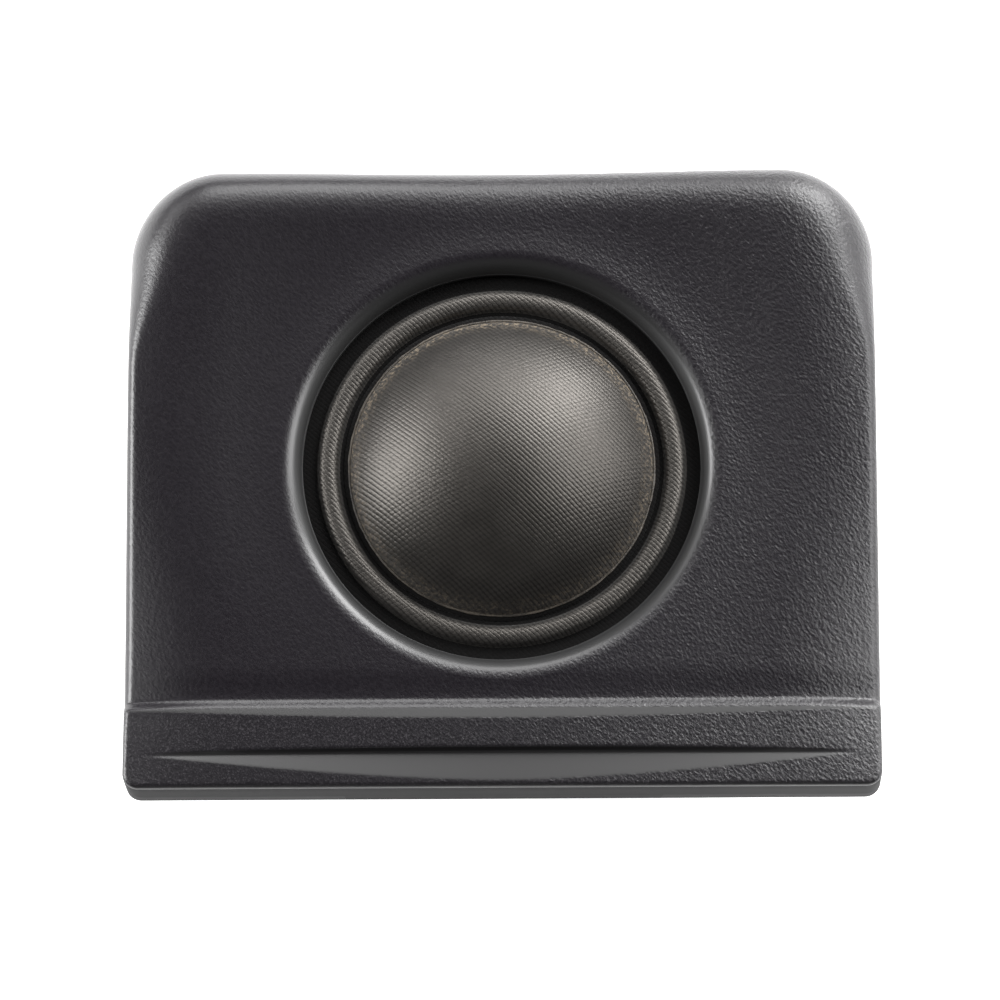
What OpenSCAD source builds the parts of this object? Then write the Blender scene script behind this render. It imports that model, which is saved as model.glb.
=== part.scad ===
// Trim-plate tweeter for a car interior: a moulded faceplate with a soft dome driver behind it.
// The dome axis is Z, the front faces +Z, the rounded edge is +Y and the ledge is -Y.
// The origin lies on the dome axis, in the flat base of the rear cover. Millimetres.

/* [Faceplate] */
// Width of the faceplate
plate_w = 61; // [60.4:0.2:64]
// Distance from the dome axis to the rounded top edge
plate_top = 25.3; // [24.9:0.1:27]
// Distance from the dome axis to the ledge edge
plate_bottom = 26.9; // [26.5:0.1:28.5]
// Radius of the two top corners, seen from the front
top_corner_r = 7.5; // [6:0.5:9]
// Radius of the two bottom corners, seen from the front
bottom_corner_r = 1.3; // [1:0.1:2]
// Wall thickness of the skirt
skirt_t = 1.7; // [1.4:0.1:2]
// Height of the rear rim above the base of the rear cover
rim_z = 12.1; // [12:0.1:12.6]
// Height of the face around the dome opening, above the rear rim
lip_h = 4.9; // [4.8:0.1:5.2]

/* [Face shape] */
// How far the face rises from the dome opening to its upper corners
dish_rise = 1.4; // [0.6:0.1:1.6]
// How far the face falls towards its left and right edges
side_drop = 1.2; // [0.5:0.1:1.5]
// Width of the strip at each side over which the face falls
side_roll_w = 8.5; // [6:0.5:10]
// Width of the rolled shoulder at the top edge
shoulder_w = 5.4; // [4:0.1:6]
// Height of the rolled shoulder at the top edge
shoulder_h = 3.8; // [2.5:0.1:3.8]

/* [Ledge] */
// Height of the ledge above the rear rim at its front edge
ledge_edge_h = 4.9; // [4.6:0.1:5]
// Height that the fillet rises from the face up to the ledge
ledge_step = 0.38; // [0.2:0.02:0.6]
// Depth of the groove behind the finger scoop
groove_depth = 0.65; // [0.4:0.05:0.9]
// Half length of the finger scoop
scoop_half = 28.9; // [24:0.1:29.2]

/* [Opening] */
// Radius of the dome opening
opening_r = 16.25; // [16:0.05:16.4]
// Radius of the rounded lip round the opening
lip_r = 1.7; // [1.4:0.1:2.8]

/* [Dome and surround] */
// Radius of the dome at its edge
dome_r = 12.5; // [12.4:0.05:12.55]
// Height of the dome above its edge
dome_h = 6.5; // [5:0.1:7.5]
// Mean radius of the surround's roll
roll_mid_r = 14.1; // [14.05:0.05:14.4]
// Radius of the surround's half-round roll
roll_r = 0.85; // [0.7:0.01:0.9]
// Thickness of the coated cloth
cloth_t = 0.25; // [0.15:0.01:0.3]

/* [Motor] */
// Outer radius of the steel yoke cup
yoke_r = 16; // [15.5:0.1:16]
// Inner radius of the steel yoke cup
yoke_bore_r = 13.45; // [13.3:0.05:13.6]
// Radius of the pole plate inside the coil
pole_r = 12.25; // [12:0.05:12.3]
// Thickness of the pole plate
pole_t = 2.2; // [1.8:0.1:2.4]
// Radius of the magnet
magnet_r = 11.5; // [10:0.1:11.8]
// Thickness of the magnet
magnet_t = 4; // [3.5:0.1:4.2]
// Thickness of the yoke's base
yoke_base_t = 2.5; // [2:0.1:2.6]

/* [Rear cover] */
// Width of the rear cover
cover_w = 46; // [45.6:0.1:46.4]
// Height of the rear cover in the direction of the plate's height
cover_h = 40; // [39.6:0.1:40.4]
// Corner radius of the rear cover
cover_r = 10; // [9:0.5:10]
// Wall thickness of the rear cover
cover_t = 1.4; // [1.2:0.1:1.4]

/* [Fixings] */
// Distance between the two vehicle-side screw bosses
mount_spacing = 53.6; // [53.2:0.1:53.8]
// Radius of the pilot hole in each vehicle-side boss
mount_hole_r = 1; // [0.9:0.05:1.1]
// Distance of the cover screws from the dome axis, across the plate
screw_x = 22.2; // [21.9:0.1:22.3]
// Distance of the cover screws from the dome axis, up and down the plate
screw_y = 18.6; // [18.4:0.1:18.8]

/* [Connector] */
// Distance from the dome axis to the middle of the connector
socket_x = 7; // [6.8:0.1:7.2]
// Width of the connector's opening
socket_w = 8; // [7.6:0.1:8]
// Height of the connector's opening
socket_h = 5.6; // [5:0.1:5.6]
// Distance between the two connector pins
pin_pitch = 2.5; // [2.3:0.1:2.6]

/* [Hidden] */

$fn = 96;
eps = 0.01;
half_w = plate_w / 2;

// Heights of the stack, from the front down
lip_z = rim_z + lip_h;
lip_drop = 1.1;
lip_land_z = lip_z - lip_drop;
lip_back_z = lip_land_z - 0.4;
gasket_t = 0.4;
cloth_z = lip_back_z - gasket_t;
frame_top_z = cloth_z - cloth_t;
motor_top_z = frame_top_z - 2.05;
magnet_top_z = motor_top_z - pole_t;
yoke_floor_z = magnet_top_z - magnet_t;
yoke_back_z = yoke_floor_z - yoke_base_t;
ceiling_z = lip_z - 2;

// Dome and coil
dome_edge_z = cloth_z + 0.1;
dome_sphere_r = (dome_r * dome_r + dome_h * dome_h) / (2 * dome_h);
dome_centre_z = dome_edge_z + dome_h - dome_sphere_r;
dome_t = 0.3;
dome_flange_r = 12.85;
dome_flange_t = 0.2;
dome_flange_z = dome_edge_z - 0.15;
glue_t = 0.15;
former_r = 12.55;
former_t = 0.1;
former_top_z = dome_edge_z - 0.15;
former_len = 4.9;
winding_r = 13;
winding_h = 2.5;
winding_top_z = motor_top_z + 0.15;
surround_inner_r = 12.92;
surround_outer_r = 18;
frame_bore_r = 14.85;
frame_r = 18.3;
collar_r = 17.5;
collar_len = 2.7;
felt_r = 9;
felt_t = 1.2;

// Terminals on the driver
terminal_x = 19.2;
terminal_y = 3;
board_t = 1;
tab_t = 0.5;
tab_w = 2.2;
leg_x = 20.3;
leg_bottom_z = motor_top_z - 4.6;
solder_z = leg_bottom_z + 1.1;
rivet_head_t = 0.4;
rivet_r = 0.6;
lead_r = 0.2;
wire_r = 0.55;

// Capacitor beside the motor
cap_x = -18.9;
cap_z = 4;
cap_r = 2.5;
cap_len = 11;
cap_lead_r = 0.3;
cap_lead_end = 8;

// Connector
socket_z = 5.5;
socket_wall = 1;
socket_flange_w = 0.25;
socket_flange_t = 0.65;
fit_gap = 0.05;
cover_inner_y = cover_h / 2 - cover_t;
socket_back_y = 17.3;
socket_mouth_y = 25;
pin_w = 0.64;
pin_inner_y = 15.5;
pin_outer_y = 20.8;

// Rear cover
cover_chamfer = 0.8;
support_r_in = 9;
support_r_out = 12;

// Screws
screw_shank_r = 0.78;
screw_head_r = 1.9;
screw_head_h = 1.3;
ear_r = 2.4;
ear_t = 1.6;
ear_hole_r = 1.15;
screw_len = 2.3;
boss_r = 2.4;
pilot_r = 0.85;
pilot_depth = 2.6;
mount_boss_r = 2.1;
mount_hole_depth = 2.8;
seat_gap = 0.4;

// ---- shared helpers ----

function clamp01(t) = min(1, max(0, t));
function ease(t) = let (c = clamp01(t)) c * c * (3 - 2 * c);
function mix(a, b, t) = a + (b - a) * t;

// A rectangle with round corners of two radii, from exact squares and circles
module rounded_outline(w, bottom, top, r_bottom, r_top) {
  for (side = [-1, 1]) {
    translate([side * (w / 2 - r_top), top - r_top])
      circle(r_top);
    translate([side * (w / 2 - r_bottom), bottom + r_bottom])
      circle(r_bottom);
  }
  translate([-w / 2, bottom + r_bottom])
    square([w, top - r_top - bottom - r_bottom]);
  translate([-w / 2 + r_top, top - r_top - eps])
    square([w - 2 * r_top, r_top + eps]);
  translate([-w / 2 + r_bottom, bottom])
    square([w - 2 * r_bottom, r_bottom + eps]);
}

module ring(r_in, r_out, z, h) {
  translate([0, 0, z])
    difference() {
      cylinder(r = r_out, h = h);
      translate([0, 0, -1])
        cylinder(r = r_in, h = h + 2);
    }
}

// A smooth curve through hand-set points
function spline_point(a, b, c, d, t) =
  0.5 * (2 * b + (c - a) * t + (2 * a - 5 * b + 4 * c - d) * t * t
    + (3 * b - a - 3 * c + d) * t * t * t);
function spline(points, steps) = let (n = len(points)) [
  for (i = [0 : n - 2], k = [0 : steps - 1])
    spline_point(points[max(0, i - 1)], points[i], points[i + 1], points[min(n - 1, i + 2)], k / steps),
  points[n - 1]
];

function unit(v) = v / norm(v);

// Directions along a path; its two end faces stand square to the first and last stretch of points
function directions(path, points) = let (n = len(path), m = len(points)) [
  unit(points[1] - points[0]),
  for (i = [1 : n - 2]) unit(path[i + 1] - path[i - 1]),
  unit(points[m - 1] - points[m - 2])
];

// A round wire along a path that never runs parallel to the reference direction
module wire(points, r, steps, reference = [0.13, 0.21, 1], sides = 10) {
  path = spline(points, steps);
  along = directions(path, points);
  rings = len(path);
  vertices = [
    for (i = [0 : rings - 1])
      let (t = along[i], s = unit(cross(t, reference)), u = cross(s, t))
        for (k = [0 : sides - 1])
          path[i] + r * (cos(360 * k / sides) * s + sin(360 * k / sides) * u)
  ];
  faces = [
    for (i = [0 : rings - 2], k = [0 : sides - 1])
      let (m = (k + 1) % sides)
        [i * sides + k, i * sides + m, (i + 1) * sides + m, (i + 1) * sides + k],
    [for (k = [sides - 1 : -1 : 0]) k],
    [for (k = [0 : sides - 1]) (rings - 1) * sides + k]
  ];
  polyhedron(points = vertices, faces = faces, convexity = 6);
}

// ---- faceplate ----

// Distance from a point of the face to the plate's outline
function corner_inset(x, y, r, end) =
  let (qx = abs(x) - (half_w - r), qy = y - (end - r))
    r - norm([max(qx, 0), max(qy, 0)]) - min(max(qx, qy), 0);
function edge_inset(x, y) = max(0, min(
  corner_inset(x, y, top_corner_r, plate_top),
  corner_inset(x, -y, bottom_corner_r, plate_bottom)
));

// Half width of the plate at a height y
function half_width(y) =
  let (r = y > 0 ? top_corner_r : bottom_corner_r, e = y > 0 ? plate_top - y : plate_bottom + y)
    e >= r ? half_w : half_w - r + sqrt(max(0, r * r - (r - e) * (r - e)));

// The dish starts outside the lip, and fades out towards the ledge
dish_start_r = 19;
dish_span = 14;
dish_fade_y = -18;
dish_fade_span = 24;
ledge_dip = 0.2;
ledge_dip_y = -17;
ledge_dip_span = 2.5;

// Lines of the ledge, measured from the plate's bottom edge and bowed along its length
foot_y = -plate_bottom + 7.35;
fillet_top_y = -plate_bottom + 6.5;
fillet_l = foot_y - fillet_top_y;
crest_slope = 0.22;
crest_line = 5.55;
crest_bow = 0.85;
groove_line = 3.02;
groove_bow = 0.35;
scoop_w = 2.5;
scoop_w_min = 0.12;
scoop_power = 1.65;
groove_wall = 0.22;
// Share of the face's fall at its sides that the crest follows
ledge_fall = 0.7;
function side_fall(x) = side_drop * pow(max(0, 1 - (half_w - abs(x)) / side_roll_w), 2);
function fillet_top_h(x) = lip_h - ledge_dip + ledge_step - ledge_fall * side_fall(x);
function crest_y(x) = -plate_bottom + crest_line + crest_bow * pow(x / half_w, 2);
function groove_y(x) = -plate_bottom + groove_line - groove_bow * pow(x / scoop_half, 2);
function scoop_end_y(x) =
  groove_y(x) - max(scoop_w_min, scoop_w * (1 - pow(min(1, abs(x) / scoop_half), scoop_power)));
function crest_h(x) = fillet_top_h(x) + crest_slope * (fillet_top_y - crest_y(x));

// Height of the fillet t of the way up, level at its foot and with the crest's slope at its top
function fillet_h(low, top, t) =
  low + (top - low) * t * t * (3 - 2 * t) + crest_slope * fillet_l * t * t * (t - 1);

// Height of the ledge before the finger scoop is taken out
function ledge_h(x, y) =
  mix(crest_h(x), ledge_edge_h, (crest_y(x) - y) / (crest_y(x) + plate_bottom));

// Height with the scoop: a steep wall at the groove, then a flat that rises to the front edge
function scoop_floor_h(x, y) =
  let (
    deep = ledge_h(x, groove_y(x)) - groove_depth * max(0, 1 - pow(x / scoop_half, 2)),
    end_y = scoop_end_y(x)
  )
    y > groove_y(x)
      ? mix(deep, ledge_h(x, y), (y - groove_y(x)) / groove_wall)
      : mix(deep, ledge_h(x, end_y), (groove_y(x) - y) / (groove_y(x) - end_y));

function main_face_h(x, y) =
  lip_h
  + dish_rise * ease((norm([x, y]) - dish_start_r) / dish_span)
    * ease((y - dish_fade_y) / dish_fade_span)
  - side_fall(x)
  - ledge_dip * ease((ledge_dip_y - y) / ledge_dip_span);

function face_h(x, y) =
  y >= foot_y ? main_face_h(x, y)
  : y >= fillet_top_y
    ? fillet_h(main_face_h(x, foot_y), fillet_top_h(x), (foot_y - y) / fillet_l)
  : y >= crest_y(x) ? fillet_top_h(x) + crest_slope * (fillet_top_y - y)
  : y >= groove_y(x) + groove_wall || y <= scoop_end_y(x) ? ledge_h(x, y)
  : scoop_floor_h(x, y);

// The outline's own rounding: a wide shoulder at the top edge, a small radius elsewhere
side_round = 0.8;
low_round_w = 0.5;
low_round_h = 0.4;
shoulder_fade_y = 8;
shoulder_fade_span = 13;
low_fade_y = -18;
low_fade_span = 4;
// How gently the rounding starts, at the sides and at the shoulder
side_start = 1.15;
shoulder_start_power = 1.5;

function edge_drop(x, y) =
  let (
    top = ease((y - shoulder_fade_y) / shoulder_fade_span),
    low = ease((low_fade_y - y) / low_fade_span),
    w = mix(mix(side_round, low_round_w, low), shoulder_w, top),
    h = mix(mix(side_round, low_round_h, low), shoulder_h, top),
    t = pow(clamp01(1 - edge_inset(x, y) / w), mix(side_start, shoulder_start_power, top))
  )
    h * (1 - sqrt(1 - t * t));

function outer_z(x, y) = rim_z + max(0.1, face_h(x, y) - edge_drop(x, y));

// Rows of the face's grid: the first ones follow the ledge's bowed lines, the rest are straight
function ledge_row(k, x) =
  let (edge = -plate_bottom, end_y = scoop_end_y(x), g = groove_y(x))
    [
      edge, edge + 0.05, edge + 0.18, mix(edge + 0.18, end_y, 0.6), end_y, mix(end_y, g, 0.5),
      g, g + groove_wall, mix(g, crest_y(x), 0.5), crest_y(x), fillet_top_y,
      mix(fillet_top_y, foot_y, 0.35), mix(fillet_top_y, foot_y, 0.7), foot_y
    ][k];
ledge_rows = 14;
face_rows = 22;
shoulder_rows = 8;
shoulder_start = plate_top - shoulder_w;
function row_y(j, x) =
  j < ledge_rows ? ledge_row(j, x)
  : j < ledge_rows + face_rows
    ? mix(foot_y, shoulder_start, (j - ledge_rows + 1) / face_rows)
    : shoulder_start + shoulder_w * sin(90 * (j - ledge_rows - face_rows + 1) / shoulder_rows);

columns = 52;
rows = ledge_rows + face_rows + shoulder_rows;

// The solid under the moulded face, down to the rear rim, with its outline rounded
module face_solid() {
  grid = [
    for (j = [0 : rows - 1], i = [0 : columns])
      let (u = sin(90 * (2 * i / columns - 1)), y = row_y(j, u * half_w), x = u * half_width(y))
        [x, y, outer_z(x, y)]
  ];
  border = concat(
    [for (i = [0 : columns]) i],
    [for (j = [1 : rows - 1]) j * (columns + 1) + columns],
    [for (i = [columns - 1 : -1 : 0]) (rows - 1) * (columns + 1) + i],
    [for (j = [rows - 2 : -1 : 1]) j * (columns + 1)]
  );
  n = len(border);
  first = len(grid);
  base = [for (b = border) [grid[b].x, grid[b].y, rim_z]];
  centre = first + n;
  top_faces = [
    for (j = [0 : rows - 2], i = [0 : columns - 1])
      let (a = j * (columns + 1) + i, b = a + 1, c = b + columns + 1, d = c - 1)
        each [[a, c, b], [a, d, c]]
  ];
  side_faces = [
    for (k = [0 : n - 1])
      let (m = (k + 1) % n)
        each [[border[k], border[m], first + m], [border[k], first + m, first + k]]
  ];
  bottom_faces = [for (k = [0 : n - 1]) [first + k, first + (k + 1) % n, centre]];
  polyhedron(
    points = concat(grid, base, [[0, 0, rim_z]]),
    faces = concat(top_faces, side_faces, bottom_faces)
  );
}

// The lip's profile, as the space to be cut away round the dome
module opening_cutter() {
  steps = 9;
  start_tilt = acos(1 - lip_drop / lip_r);
  end_tilt = 8;
  centre_r = opening_r + lip_r * sin(start_tilt);
  arc = [
    for (k = [0 : steps])
      let (tilt = mix(start_tilt, end_tilt, k / steps))
        [centre_r - lip_r * sin(tilt), lip_z - lip_r + lip_r * cos(tilt)]
  ];
  run_out = 2;
  above = arc[steps] + [run_out, run_out * tan(end_tilt)];
  low = rim_z - 1;
  high = lip_z + 4;
  rotate_extrude($fn = 128)
    polygon(concat([[0, low], [opening_r, low]], arc, [above, [above.x, high], [0, high]]));
}

module screw_bosses(r, z, h) {
  for (sx = [-1, 1], sy = [-1, 1])
    translate([sx * screw_x, sy * screw_y, z])
      cylinder(r = r, h = h, $fn = 32);
}

module mount_bosses(r, z, h) {
  for (side = [-1, 1])
    translate([side * mount_spacing / 2, 0, z])
      cylinder(r = r, h = h, $fn = 32);
}

module cover_outline(inset) {
  r = cover_r - inset;
  rounded_outline(cover_w - 2 * inset, inset - cover_h / 2, cover_h / 2 - inset, r, r);
}

// The hollow behind the face, inside the skirt
module cavity_outline() {
  r_bottom = 2;
  r_top = 5.5;
  rounded_outline(
    plate_w - 2 * skirt_t, skirt_t - plate_bottom, plate_top - skirt_t - 0.7, r_bottom, r_top
  );
}

module faceplate() {
  color("#262629")
    difference() {
      union() {
        difference() {
          face_solid();
          translate([0, 0, rim_z - 1])
            linear_extrude(ceiling_z - rim_z + 1)
              cavity_outline();
          translate([0, 0, rim_z - 1])
            cylinder(r = frame_r + seat_gap, h = lip_back_z - rim_z + 1);
          opening_cutter();
        }
        translate([0, 0, rim_z])
          linear_extrude(ceiling_z - rim_z + eps)
            difference() {
              cover_outline(0);
              cover_outline(cover_t);
            }
        screw_bosses(boss_r, rim_z, ceiling_z - rim_z + eps);
        mount_bosses(mount_boss_r, rim_z, ceiling_z - rim_z + eps);
      }
      screw_bosses(pilot_r, rim_z - 1, pilot_depth + 1);
      mount_bosses(mount_hole_r, rim_z - 1, mount_hole_depth + 1);
    }
}

// ---- dome, surround and voice coil ----

module diaphragm_dome() {
  color("#3b3936")
    union() {
      intersection() {
        translate([0, 0, dome_centre_z])
          difference() {
            sphere(dome_sphere_r, $fn = 128);
            sphere(dome_sphere_r - dome_t, $fn = 128);
          }
        translate([0, 0, dome_edge_z])
          cylinder(r = dome_flange_r, h = dome_h + 1);
      }
      ring(dome_r - dome_t - 0.1, dome_flange_r, dome_flange_z, dome_flange_t);
    }
}

module surround() {
  color("#2b2a29")
    rotate_extrude($fn = 128) {
      translate([surround_inner_r, cloth_z - cloth_t])
        square([roll_mid_r - roll_r + cloth_t - surround_inner_r, cloth_t]);
      translate([roll_mid_r + roll_r - cloth_t, cloth_z - cloth_t])
        square([surround_outer_r - roll_mid_r - roll_r + cloth_t, cloth_t]);
      translate([roll_mid_r, cloth_z - cloth_t])
        difference() {
          circle(roll_r, $fn = 48);
          circle(roll_r - cloth_t, $fn = 48);
          translate([-2 * roll_r, -2 * roll_r])
            square([4 * roll_r, 2 * roll_r]);
        }
    }
}

module dome_glue_ring() {
  color("#5a4e3c")
    ring(dome_r + 0.06, dome_flange_r - 0.02, dome_flange_z + dome_flange_t, glue_t);
}

module voice_coil_former() {
  color("#b08a4a")
    ring(former_r, former_r + former_t, former_top_z - former_len, former_len);
}

module voice_coil_winding() {
  color("#b5662e")
    ring(former_r + former_t, winding_r, winding_top_z - winding_h, winding_h);
}

// ---- driver frame and motor ----

module front_frame() {
  lug_h = 1.4;
  slot_h = 1.1;
  slot_w = 1.2;
  slot_inner_x = frame_bore_r - 2;
  color("#303033")
    difference() {
      union() {
        ring(frame_bore_r, frame_r, motor_top_z, frame_top_z - motor_top_z);
        ring(yoke_r + 0.05, collar_r, motor_top_z - collar_len, collar_len);
        translate([frame_r - 1.3, -terminal_y - 2.4, motor_top_z])
          cube([4, 2 * terminal_y + 4.8, lug_h]);
      }
      for (side = [-1, 1]) {
        translate([terminal_x, side * terminal_y, motor_top_z - eps])
          cylinder(r = 1.4, h = slot_h, $fn = 32);
        translate([slot_inner_x, side * terminal_y - slot_w / 2, motor_top_z - eps])
          cube([terminal_x - slot_inner_x, slot_w, slot_h]);
      }
    }
}

module foam_gasket() {
  color("#1c1c1e")
    ring(opening_r + 0.4, frame_r - 0.1, cloth_z, gasket_t);
}

module pole_plate() {
  color("#9da0a3")
    translate([0, 0, magnet_top_z])
      cylinder(r = pole_r, h = pole_t);
}

module pole_damping_felt() {
  color("#3d3a3a")
    translate([0, 0, motor_top_z])
      cylinder(r = felt_r, h = felt_t);
}

module magnet() {
  color("#8d9094")
    translate([0, 0, yoke_floor_z])
      cylinder(r = magnet_r, h = magnet_t);
}

module yoke_cup() {
  chamfer = 0.6;
  color("#a5a8ac")
    rotate_extrude($fn = 128)
      polygon([
        [0, yoke_back_z], [yoke_r - chamfer, yoke_back_z], [yoke_r, yoke_back_z + chamfer],
        [yoke_r, motor_top_z], [yoke_bore_r, motor_top_z], [yoke_bore_r, yoke_floor_z],
        [0, yoke_floor_z]
      ]);
}

// ---- rear cover and fixings ----

module socket_outline(grow) {
  w = socket_w + 2 * socket_wall + 2 * grow;
  h = socket_h + 2 * socket_wall + 2 * grow;
  translate([socket_x - w / 2, socket_z - h / 2])
    square([w, h]);
}

// Lays an outline drawn across and up the connector into place, running towards +Y
module along_y(from, to) {
  translate([0, from, 0])
    mirror([0, 1, 0])
      rotate([90, 0, 0])
        linear_extrude(to - from)
          children();
}

// The bottom of a block with round corners, with a chamfer all round its lower edge
module chamfered_base(w, h, r, chamfer) {
  for (sx = [-1, 1], sy = [-1, 1])
    translate([sx * (w / 2 - r), sy * (h / 2 - r), 0])
      cylinder(r1 = r - chamfer, r2 = r, h = chamfer);
  for (turn = [0, 90]) {
    across = turn == 0 ? h : w;
    along = turn == 0 ? w - 2 * r : h - 2 * r;
    rotate([90, 0, turn + 90])
      linear_extrude(along, center = true)
        polygon([
          [chamfer - across / 2, 0], [across / 2 - chamfer, 0],
          [across / 2, chamfer], [-across / 2, chamfer]
        ]);
  }
}

module rear_cover() {
  color("#2d2d30")
    difference() {
      union() {
        difference() {
          union() {
            chamfered_base(cover_w, cover_h, cover_r, cover_chamfer);
            translate([0, 0, cover_chamfer])
              linear_extrude(rim_z - cover_chamfer)
                cover_outline(0);
          }
          translate([0, 0, cover_t])
            linear_extrude(rim_z)
              cover_outline(cover_t);
        }
        ring(support_r_in, support_r_out, cover_t - eps, yoke_back_z - cover_t + eps);
        for (sx = [-1, 1], sy = [-1, 1])
          difference() {
            union() {
              translate([sx * screw_x, sy * screw_y, rim_z - ear_t])
                cylinder(r = ear_r, h = ear_t, $fn = 32);
              translate([sx * (screw_x - 2), sy * (screw_y - 2), rim_z - ear_t / 2])
                rotate([0, 0, sx * sy * 45])
                  cube([4, 2 * ear_r, ear_t], center = true);
            }
            translate([0, 0, -1])
              linear_extrude(rim_z + 2)
                cover_outline(cover_t / 2);
          }
      }
      screw_bosses(ear_hole_r, rim_z - ear_t - 1, ear_t + 2);
      along_y(cover_inner_y - 1, cover_h / 2 + 1)
        socket_outline(2 * fit_gap);
    }
}

module retaining_screws() {
  drive_depth = 0.8;
  drive_len = 2.2;
  drive_w = 0.44;
  head_z = rim_z - ear_t - screw_head_h;
  color("#6e7073")
    difference() {
      union() {
        screw_bosses(screw_shank_r, rim_z - ear_t, ear_t + screw_len);
        for (sx = [-1, 1], sy = [-1, 1])
          translate([sx * screw_x, sy * screw_y, head_z])
            rotate_extrude($fn = 48)
              polygon([
                [0, 0], [screw_head_r - 0.6, 0], [screw_head_r - 0.15, 0.35],
                [screw_head_r, 0.8], [screw_head_r, screw_head_h], [0, screw_head_h]
              ]);
      }
      for (sx = [-1, 1], sy = [-1, 1], turn = [0, 90])
        translate([sx * screw_x, sy * screw_y, head_z - 1])
          rotate([0, 0, turn])
            translate([-drive_len / 2, -drive_w / 2, 0])
              cube([drive_len, drive_w, 1 + drive_depth]);
    }
}

// ---- terminals and wiring ----

module terminal_board() {
  x0 = collar_r + 0.2;
  color("#7a4f2c")
    difference() {
      translate([x0, -terminal_y - 2.2, motor_top_z - board_t])
        cube([3.5, 2 * terminal_y + 4.4, board_t]);
      for (side = [-1, 1])
        translate([terminal_x, side * terminal_y, motor_top_z - board_t - 1])
          cylinder(r = rivet_r + 0.02, h = board_t + 2, $fn = 32);
    }
}

module terminal_tab(side) {
  top_z = motor_top_z - board_t;
  color("#c9a24a")
    difference() {
      union() {
        translate([terminal_x - 1.1, side * terminal_y - tab_w / 2, top_z - tab_t])
          cube([leg_x + tab_t - terminal_x + 1.1, tab_w, tab_t]);
        translate([leg_x, side * terminal_y - tab_w / 2, leg_bottom_z])
          cube([tab_t, tab_w, top_z - leg_bottom_z]);
      }
      translate([terminal_x, side * terminal_y, top_z - tab_t - 1])
        cylinder(r = rivet_r + 0.02, h = tab_t + 2, $fn = 32);
    }
}

module terminal_tab_positive() {
  terminal_tab(-1);
}

module terminal_tab_negative() {
  terminal_tab(1);
}

module terminal_rivets() {
  bottom_z = motor_top_z - board_t - tab_t;
  color("#d0b060")
    for (side = [-1, 1])
      translate([terminal_x, side * terminal_y, bottom_z - rivet_head_t])
        union() {
          cylinder(r = 1, h = rivet_head_t, $fn = 32);
          cylinder(r = rivet_r, h = board_t + tab_t + 2 * rivet_head_t, $fn = 32);
          translate([0, 0, board_t + tab_t + rivet_head_t])
            cylinder(r = 1, h = rivet_head_t, $fn = 32);
        }
}

// The flexible lead from a rivet, through the frame's slot, to the top of the coil
module lead_wire(side) {
  start_z = motor_top_z + rivet_head_t;
  y = side * terminal_y;
  color("#c8732f")
    wire([
      [terminal_x, y, start_z], [terminal_x, y, start_z + 0.15], [18.7, y, start_z + 0.35],
      [17, y, start_z + 0.3], [15.2, y, start_z + 0.5], [13.7, y, start_z + 0.25],
      [12.6, y, start_z + 0.4]
    ], lead_r, 4, [0, 1, 0.001], 8);
}

module lead_wire_positive() {
  lead_wire(-1);
}

module lead_wire_negative() {
  lead_wire(1);
}

module crossover_capacitor() {
  color("#2f4a7a")
    translate([cap_x, cap_len / 2, cap_z])
      rotate([90, 0, 0])
        rotate_extrude($fn = 64)
          polygon([
            [0, 0], [cap_r - 0.3, 0], [cap_r, 0.3], [cap_r, 1.4], [cap_r - 0.25, 1.8],
            [cap_r, 2.2], [cap_r, cap_len - 0.3], [cap_r - 0.3, cap_len], [0, cap_len]
          ]);
}

module capacitor_leads() {
  color("#b9bcc0")
    for (side = [-1, 1])
      translate([cap_x, side * (cap_len / 2 + cap_lead_end) / 2, cap_z])
        rotate([90, 0, 0])
          cylinder(r = cap_lead_r, h = cap_lead_end - cap_len / 2, center = true, $fn = 24);
}

module hookup_wire_input() {
  pin_face_x = socket_x - pin_pitch / 2 - pin_w / 2;
  color("#9b2f2a")
    wire([
      [pin_face_x, 16.3, socket_z], [pin_face_x - 0.6, 16.3, socket_z], [2.6, 16.6, 5.2],
      [-1, 17.3, 4.6], [-6, 16.7, 4.2], [-11, 14.6, 4], [-15.5, 12.2, 4], [-18.2, 9.8, 4],
      [cap_x, cap_lead_end + 0.7, cap_z], [cap_x, cap_lead_end, cap_z]
    ], wire_r, 3);
}

module hookup_wire_positive() {
  color("#9b2f2a")
    wire([
      [cap_x, -cap_lead_end, cap_z], [cap_x, -cap_lead_end - 0.7, cap_z], [-17.8, -10.8, 4],
      [-12.8, -14, 4.4], [-6.5, -16.6, 4.8], [1, -17.5, 5.2], [8, -16.2, 5.8], [14, -12.6, 6.6],
      [17.8, -8.4, 7.4], [18.9, -5, solder_z - 0.3], [leg_x - 0.7, -terminal_y, solder_z],
      [leg_x, -terminal_y, solder_z]
    ], wire_r, 3);
}

module hookup_wire_negative() {
  pin_face_x = socket_x + pin_pitch / 2 + pin_w / 2;
  color("#1f1f21")
    wire([
      [pin_face_x, 16.3, socket_z], [pin_face_x + 0.6, 16.3, socket_z], [11.4, 15, 5.8],
      [14.4, 12.2, 6.4], [17.4, 8.6, 7.2], [18.9, 5.2, solder_z - 0.3],
      [leg_x - 0.7, terminal_y, solder_z], [leg_x, terminal_y, solder_z]
    ], wire_r, 3);
}

module connector_socket() {
  color("#202124")
    difference() {
      union() {
        along_y(socket_back_y, socket_mouth_y)
          socket_outline(0);
        along_y(cover_inner_y - socket_flange_t - fit_gap, cover_inner_y - fit_gap)
          socket_outline(socket_flange_w);
      }
      along_y(socket_back_y + socket_wall, socket_mouth_y + 1)
        socket_outline(-socket_wall);
      for (side = [-1, 1])
        translate([socket_x + side * pin_pitch / 2, socket_back_y + socket_wall / 2, socket_z])
          cube([pin_w, socket_wall + 1, pin_w], center = true);
    }
}

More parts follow.
